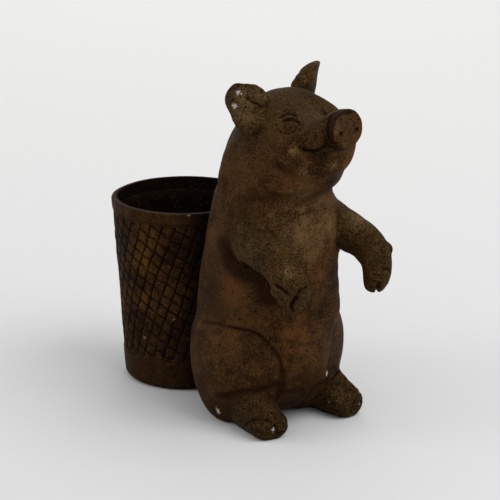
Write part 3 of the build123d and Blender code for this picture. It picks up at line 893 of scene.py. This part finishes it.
pits = snout.near(on_skin(NOSTRIL_PIXELS, snout_faces), PIT_WIDTH)
rubbed = snout.near(on_skin(RUBBED_RIM, snout_faces), RUBBED_RIM_WIDTH)
# Painted shade on the snout's side wall and in its nostrils.
side_shade = np.where(from_seat < SNOUT_RIM, SNOUT_SIDE_SHADE, 0.0)
face_bare = np.where(from_seat > SNOUT_RIM, SNOUT_FACE_BARE, 0.0)
snout_marks["olive"] = np.full(len(snout.points), SNOUT_OLIVE)
snout_marks["fold"] = np.max([snout_marks["fold"], side_shade, PIT_SHADE * pits], axis=0)
snout_marks["bare"] = np.maximum(face_bare, PIT_BARE * pits)
snout_marks["worn"] = np.maximum(snout_marks["worn"], RUBBED_RIM_SHARE * rubbed)
write_marks(snout.mesh, snout_marks)
dress(bpy.data.objects.new("snout_clay", snout.mesh), "snout_disc", pig_patina)

# The eyes
# Pellets of clay pressed into the sockets under drawn lids, and flattened with a finger.
# The far one goes with the far brow where a thumb has pushed it in.
EYE_GRAIN = 0.3 * MM
EYE_PIXEL = (287, 127)
EYE_FLATTENING = 0.45
EYE_OLIVE = 0.2

for side in ("left", "right"):
    eye = Clay(remeshed([merged_copy("eye_" + side)], EYE_GRAIN))
    eye.relax(*FINE_SMOOTHING)
    middle = eye.points.mean(0)
    outward = -np.array(sight_line(EYE_PIXEL)) * ((-1, 1, 1) if side == "left" else 1)
    stand = np.maximum((eye.points - middle) @ outward, 0)
    eye.points = eye.points - EYE_FLATTENING * stand[:, None] * outward
    eye.push(far_brow, FAR_BROW_WIDTH, in_view(FAR_BROW_PUSH), 1.0)
    eye.settle()
    eye_marks = marks_of(eye)
    eye_marks["olive"] = np.full(len(eye.points), EYE_OLIVE)
    write_marks(eye.mesh, eye_marks)
    dress(bpy.data.objects.new("eye_" + side + "_clay", eye.mesh), "eye_" + side, pig_patina)

# The basket
# A tapered pot built in rings: a plain foot ring, a wall incised by hand with two runs of slanting lines,
# steep ones one way and flat ones the other, and a plain rim.
BASKET_COLOURS = {
    "Dark": (0.011, 0.0045, 0.0016, 1.0),
    "Warm": (0.052, 0.0225, 0.0065, 1.0),
    "Olive": (0.028, 0.016, 0.006, 1.0),
    "Clay": (0.095, 0.038, 0.0055, 1.0),
    "Shade": (0.0028, 0.001, 0.0004, 1.0),
    "Chalk": (0.30, 0.16, 0.06, 1.0),
    "Grime Share": 1.0,
}
BASKET_RELIEF = 0.45 * MM
RUST_PLACES = (((148, 262), 26), ((150, 235), 16), ((146, 300), 14))
BASKET_CHIPS = (((145, 337), 2.2), ((167, 356), 2.0), ((174, 319), 2.0), ((188, 215), 2.2))
STEEP_LINES = 37
STEEP_LINE_RISE = 2.8
COLUMNS_PER_LINE = 8
COLUMN_BUNCHING = 0.6
FLAT_LINES = 21
FLAT_LINE_RISE = -0.65
FLAT_LINE_SLANT = 0.86
GROOVE_WIDTH = 0.95 * MM
GROOVE_DEPTH = 1.1 * MM
GROOVE_FADE = 2.2 * MM
GROOVE_PRESSURE = 0.95
# How the hand wanders: the scale, the offset and the amount of each noise.
STEEP_SWAY = ((5.0, 0.0, 0.075), (2.0, 4.0, 0.05))
FLAT_SWAY = (6.0, 9.0, 0.7)
PRESSURE_SWAY = (7.0, 14.0, 1.6)
WALL_SWAY = ((2.2, 20.0, 1.6 * MM), (9.0, 30.0, 0.5 * MM))
MOUTH_PULL = 1.5 * MM
BASKET_WALL = 4.0 * MM
INSIDE_ROWS = 14
SEAM_GAP = 0.02 * MM
SHARP_EDGE = 0.001 * MM
PAINTED_SHADOW_FROM = 0.68
BASKET_CENTRE_Y = sum(corner.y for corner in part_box("basket_foot_ring")) / 2
BASKET_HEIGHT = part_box("basket_rim")[1].z
WALL_LOW, WALL_HIGH = (corner.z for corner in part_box("basket_wall"))
WALL_MIDDLE = (WALL_LOW + WALL_HIGH) / 2


def radius_at(node, height):
    """The outside radius of a basket ring at a height."""
    spots = [v.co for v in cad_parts[node].data.vertices if abs(v.co.z - height) < FLAT]
    return max(math.hypot(spot.x, spot.y - BASKET_CENTRE_Y) for spot in spots)


wall_foot, wall_mouth = (radius_at("basket_wall", height) for height in (WALL_LOW, WALL_HIGH))
wall_flare = (wall_mouth - wall_foot) / (WALL_HIGH - WALL_LOW)
foot_radius = wall_foot - wall_flare * WALL_LOW
mouth_radius = foot_radius + wall_flare * BASKET_HEIGHT + MOUTH_PULL
middle_radius = foot_radius + wall_flare * WALL_MIDDLE
flat_spacing = abs(FLAT_LINE_RISE) * math.tau * middle_radius / FLAT_LINES


class Field:
    """A value in a geometry node tree, so that a sum is written as a sum."""

    def __init__(self, tree, socket):
        self.tree = tree
        self.socket = socket

    def math(self, operation, *others):
        inputs = {slot: getattr(value, "socket", value) for slot, value in enumerate((self,) + others)}
        return Field(self.tree, add_node(self.tree, "ShaderNodeMath", inputs, operation=operation).outputs[0])

    def __add__(self, other):
        return self.math("ADD", other)

    def __sub__(self, other):
        return self.math("SUBTRACT", other)

    def __mul__(self, other):
        return self.math("MULTIPLY", other)

    def __truediv__(self, other):
        return self.math("DIVIDE", other)

    def clamped(self):
        return self.math("MAXIMUM", 0.0).math("MINIMUM", 1.0)

    def over(self, limit):
        return self.math("GREATER_THAN", limit)

    def waves(self):
        """The distance to the nearest whole number."""
        return (self + 0.5).math("FRACT").math("SUBTRACT", 0.5).math("ABSOLUTE")


def basket_tree():
    """The node tree of one ring of the basket: outside, top, inside and bottom as one closed band."""
    tree = bpy.data.node_groups.new("basket_ring", "GeometryNodeTree")
    sizes = ("Low", "High", "Foot Radius", "Mouth Radius", "Height", "Wall", "Proud", "Top Round",
             "Bottom Round", "Groove Depth", "Groove Width", "Axis Y")
    for name in sizes:
        socket(tree, name, "INPUT", "NodeSocketFloat", 0.0)
    socket(tree, "Rows", "INPUT", "NodeSocketInt")
    socket(tree, "Finish", "INPUT", "NodeSocketMaterial")
    socket(tree, "Geometry", "OUTPUT", "NodeSocketGeometry")
    given = add_node(tree, "NodeGroupInput").outputs
    size = {name: Field(tree, given[name]) for name in sizes}
    rows = Field(tree, given["Rows"])
    all_rows = rows + (INSIDE_ROWS + 2)
    grid = add_node(tree, "GeometryNodeMeshGrid", {"Size X": 1.0, "Size Y": 1.0,
                                                   "Vertices X": STEEP_LINES * COLUMNS_PER_LINE + 1,
                                                   "Vertices Y": (all_rows + 1).socket})
    grid_place = add_node(tree, "GeometryNodeInputPosition").outputs[0]
    place = add_node(tree, "ShaderNodeSeparateXYZ", {"Vector": grid_place})
    line = (Field(tree, place.outputs["X"]) + 0.5) * STEEP_LINES
    row = ((Field(tree, place.outputs["Y"]) + 0.5) * all_rows + 0.5).math("FLOOR")

    not_last = row.math("LESS_THAN", all_rows - 0.5)
    outside_share = (row / rows).clamped() * not_last
    inside = row.over(rows + 0.5) * not_last
    inside_share = ((row - rows - 1.0) / float(INSIDE_ROWS)).clamped()
    share = outside_share + inside * (inside_share * -1.0)
    height = size["Low"] + (size["High"] - size["Low"]) * share

    bunched = line - (line * math.tau).math("SINE") * (COLUMN_BUNCHING / math.tau)
    lean = (height - WALL_MIDDLE) / (STEEP_LINE_RISE * middle_radius)
    turn = bunched * (math.tau / STEEP_LINES) + lean
    ring = add_node(tree, "ShaderNodeCombineXYZ", {
        "X": turn.math("COSINE").socket,
        "Y": turn.math("SINE").socket,
        "Z": (height / size["Mouth Radius"]).socket})

    def wander(scale, offset, amount):
        """Slow noise round the ring, centred on zero."""
        moved = add_node(tree, "ShaderNodeVectorMath", {0: ring.outputs[0], 1: (offset, offset, offset)})
        made = add_node(tree, "ShaderNodeTexNoise", {"Vector": moved.outputs[0], "Scale": scale,
                                                     "Detail": 2.0})
        return (Field(tree, made.outputs["Fac"]) - 0.5) * amount

    for sway in STEEP_SWAY:
        turn = turn + wander(*sway)
    flat_line = (height - WALL_LOW) / flat_spacing + turn * (FLAT_LINES / math.tau) + wander(*FLAT_SWAY)
    pressure = (wander(*PRESSURE_SWAY) + GROOVE_PRESSURE).clamped()
    steep_gap = bunched.waves() * size["Mouth Radius"] * (math.tau / STEEP_LINES)
    flat_gap = flat_line.waves() * (flat_spacing * FLAT_LINE_SLANT)

    def cut(gap):
        """The depth of a groove at a distance from its line, as a share."""
        return ((gap / size["Groove Width"]).math("POWER", 2.0) * -1.0).math("EXPONENT")

    edge = ((height - size["Low"]) / GROOVE_FADE).clamped()
    edge = edge * ((size["High"] - height) / GROOVE_FADE).clamped()
    groove = cut(steep_gap).math("MAXIMUM", cut(flat_gap)) * pressure * edge * (inside * -1.0 + 1.0)
    carved = groove * size["Groove Depth"]

    def round_off(reach, radius):
        """How far an edge of that radius draws in, where reach is the distance into it."""
        share = (reach / radius.math("MAXIMUM", SHARP_EDGE)).clamped()
        return radius * ((share * share * -1.0 + 1.0).math("MAXIMUM", 0.0).math("SQRT") * -1.0 + 1.0)

    cone = size["Foot Radius"] + (size["Mouth Radius"] - size["Foot Radius"]) * (height / size["Height"])
    rounding = (round_off(height - size["High"] + size["Top Round"], size["Top Round"])
                + round_off(size["Low"] + size["Bottom Round"] - height, size["Bottom Round"]))
    uneven = wander(*WALL_SWAY[0]) + wander(*WALL_SWAY[1])
    outer = cone + size["Proud"] - rounding - carved + uneven
    inner = cone - size["Wall"] + uneven
    radius = outer + (inner - outer) * inside
    spot = add_node(tree, "ShaderNodeCombineXYZ", {
        "X": (radius * turn.math("COSINE")).socket,
        "Y": (size["Axis Y"] + radius * turn.math("SINE")).socket,
        "Z": height.socket})
    # Painted shadow on the side that faces the pig, and painted shade with soot inside the pot.
    painted_shadow = ((turn.math("SINE") * -1.0 - PAINTED_SHADOW_FROM) / (1.0 - PAINTED_SHADOW_FROM)).clamped()
    marked = grid.outputs["Mesh"]
    for name, value in (("hollow", carved / GROOVE_DEPTH), ("fold", painted_shadow.math("MAXIMUM", inside))):
        stored = add_node(tree, "GeometryNodeStoreNamedAttribute",
                          {"Geometry": marked, "Name": name, "Value": value.socket}, data_type="FLOAT")
        marked = stored.outputs[0]
    moved = add_node(tree, "GeometryNodeSetPosition", {"Geometry": marked, "Position": spot.outputs[0]})
    closed = add_node(tree, "GeometryNodeMergeByDistance",
                      {"Geometry": moved.outputs[0], "Distance": SEAM_GAP})
    real = add_node(tree, "GeometryNodeRealizeInstances", {"Geometry": closed.outputs[0]})
    finished = add_node(tree, "GeometryNodeSetMaterial",
                        {"Geometry": real.outputs[0], "Material": given["Finish"]})
    add_node(tree, "NodeGroupOutput", {"Geometry": finished.outputs[0]})
    return tree


basket_patina = patina_and_shade_material("basket_patina", BASKET_COLOURS, BASKET_RELIEF)
ring_tree = basket_tree()
ring_items = ring_tree.interface.items_tree
ring_sockets = {item.name: item.identifier for item in ring_items if item.in_out == "INPUT"}
RINGS = {
    "basket_foot_ring": {"Proud": 0.5 * MM, "Bottom Round": 6.0 * MM, "Top Round": 0.9 * MM, "Rows": 30},
    "basket_wall": {"Groove Depth": GROOVE_DEPTH, "Rows": 190},
    "basket_rim": {"Proud": 0.5 * MM, "Top Round": 1.6 * MM, "Bottom Round": 0.9 * MM, "Rows": 16},
}
for node, own in RINGS.items():
    low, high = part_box(node)
    values = {"Low": low.z, "High": high.z, "Foot Radius": foot_radius, "Mouth Radius": mouth_radius,
              "Height": BASKET_HEIGHT, "Wall": BASKET_WALL, "Groove Width": GROOVE_WIDTH,
              "Axis Y": BASKET_CENTRE_Y, "Finish": basket_patina, **own}
    blank = bpy.data.objects.new(node, bpy.data.meshes.new(node))
    scene.collection.objects.link(blank)
    rings = blank.modifiers.new("rings", "NODES")
    rings.node_group = ring_tree
    for name, value in values.items():
        rings[ring_sockets[name]] = value
    mesh = evaluated_mesh(blank)
    bpy.data.objects.remove(blank)
    ring = Clay(mesh)
    ring_faces = ring.tree()
    write_marks(mesh, {"bare": nearness_to(ring, RUST_PLACES, ring_faces, BARE_SOFTNESS),
                       "chip": nearness_to(ring, BASKET_CHIPS, ring_faces, SPOT_SOFTNESS)})
    dress(bpy.data.objects.new(node + "_clay", mesh), node, basket_patina)

# The basket's floor
# A rolled disc of the same clay that closes the foot ring from inside.
# Its solid has the right shape and takes the basket's patina.
basket_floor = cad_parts["basket_floor"]
basket_floor.data.materials.clear()
basket_floor.data.materials.append(basket_patina)
